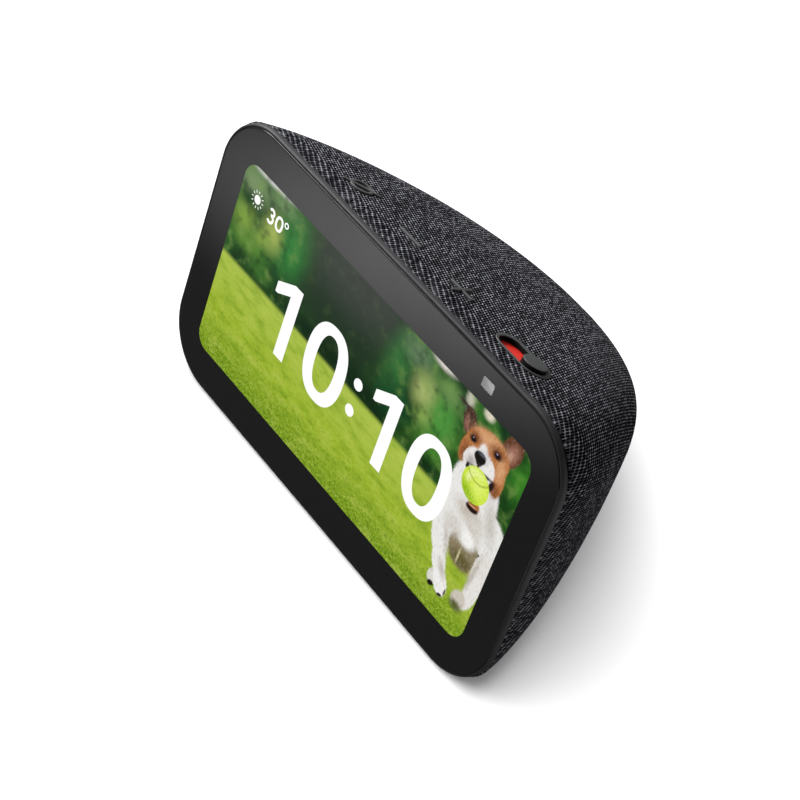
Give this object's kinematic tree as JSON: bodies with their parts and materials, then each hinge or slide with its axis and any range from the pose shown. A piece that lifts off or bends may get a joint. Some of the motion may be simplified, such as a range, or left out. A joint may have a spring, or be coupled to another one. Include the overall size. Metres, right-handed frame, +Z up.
{
  "type": "smart display",
  "caption": "Smart display: tilted touch screen on a fabric-covered wedge speaker body, with press buttons and a camera shutter slider on top.",
  "frame": {"origin": "bottom centre of the bounding box, on the table", "axes": "+X to the viewer's right along the screen, +Y from the screen to the rear, +Z up"},
  "size_m": [0.147, 0.0904, 0.0822],
  "materials": {
    "glass_black": "satin black-inked cover glass",
    "clear_lens": "clear",
    "rim_plastic": "satin",
    "knit_fabric": "charcoal knitted mesh",
    "shell_plastic": "matte",
    "control_plastic": "satin",
    "red_plastic": "satin red",
    "shutter_plastic": "matte light grey",
    "display_film": "gloss film",
    "diffuser_white": "satin white",
    "foam": "matte foam",
    "rubber": "matte",
    "steel": "brushed",
    "aluminium": "satin",
    "board_green": "solder mask",
    "chip_black": "matte",
    "cone_paper": "pressed paper",
    "magnet_iron": "plated",
    "copper": "copper",
    "screw_steel": "zinc plated"
  },
  "bodies": {
    "housing": {"cover_glass": "glass_black", "camera_window": "clear_lens", "camera_lens": "clear_lens", "front_bezel": "rim_plastic", "touch_sensor": "display_film", "lcd_panel": "display_film", "backlight_unit": "diffuser_white", "display_gasket": "foam", "thermal_pad": "foam", "speaker_gasket": "foam", "display_frame": "steel", "base_weight": "steel", "processor_shield": "steel", "radio_shield": "steel", "microphone_left": "steel", "microphone_right": "steel", "fabric_cover": "knit_fabric", "body_shell": "shell_plastic", "base_plate": "shell_plastic", "jack_bezel": "shell_plastic", "speaker_enclosure": "shell_plastic", "rubber_foot": "rubber", "speaker_surround": "rubber", "speaker_cable": "rubber", "shutter_ring": "control_plastic", "main_board": "board_green", "button_board": "board_green", "mute_switch": "chip_black", "volume_down_switch": "chip_black", "volume_up_switch": "chip_black", "camera_module": "chip_black", "power_jack": "chip_black", "speaker_basket": "chip_black", "heat_spreader": "aluminium", "speaker_magnet": "magnet_iron", "wifi_antenna_left": "copper", "wifi_antenna_right": "copper", "display_cable": "copper", "button_cable": "copper", "frame_screw_1": "screw_steel", "base_screw_1": "screw_steel", "frame_screw_2": "screw_steel", "base_screw_2": "screw_steel", "frame_screw_3": "screw_steel", "base_screw_3": "screw_steel", "frame_screw_4": "screw_steel", "base_screw_4": "screw_steel"},
    "mute_button": {"mute_button": "control_plastic"},
    "volume_down_button": {"volume_down_button": "control_plastic"},
    "volume_up_button": {"volume_up_button": "control_plastic"},
    "shutter": {"shutter_knob": "control_plastic", "shutter_slide": "red_plastic", "shutter_arm": "shell_plastic", "shutter_blade": "shutter_plastic"},
    "speaker_cone": {"speaker_cone": "cone_paper", "voice_coil": "copper"}
  },
  "joints": [
    {"name": "mute_press", "type": "slide", "parent": "housing", "child": "mute_button", "axis": [0, -0.5934, -0.8049], "range_m": [0, 0.0005], "stiffness_N_per_m": 200},
    {"name": "volume_down_press", "type": "slide", "parent": "housing", "child": "volume_down_button", "axis": [0, -0.5934, -0.8049], "range_m": [0, 0.0005], "stiffness_N_per_m": 200},
    {"name": "volume_up_press", "type": "slide", "parent": "housing", "child": "volume_up_button", "axis": [0, -0.5934, -0.8049], "range_m": [0, 0.0005], "stiffness_N_per_m": 200},
    {"name": "shutter_slide", "type": "slide", "parent": "housing", "child": "shutter", "axis": [-1, 0, 0], "range_m": [0, 0.0082]},
    {"name": "cone_travel", "type": "slide", "parent": "housing", "child": "speaker_cone", "axis": [0, 1, 0], "range_m": [-0.0009, 0.001], "stiffness_N_per_m": 300}
  ]
}
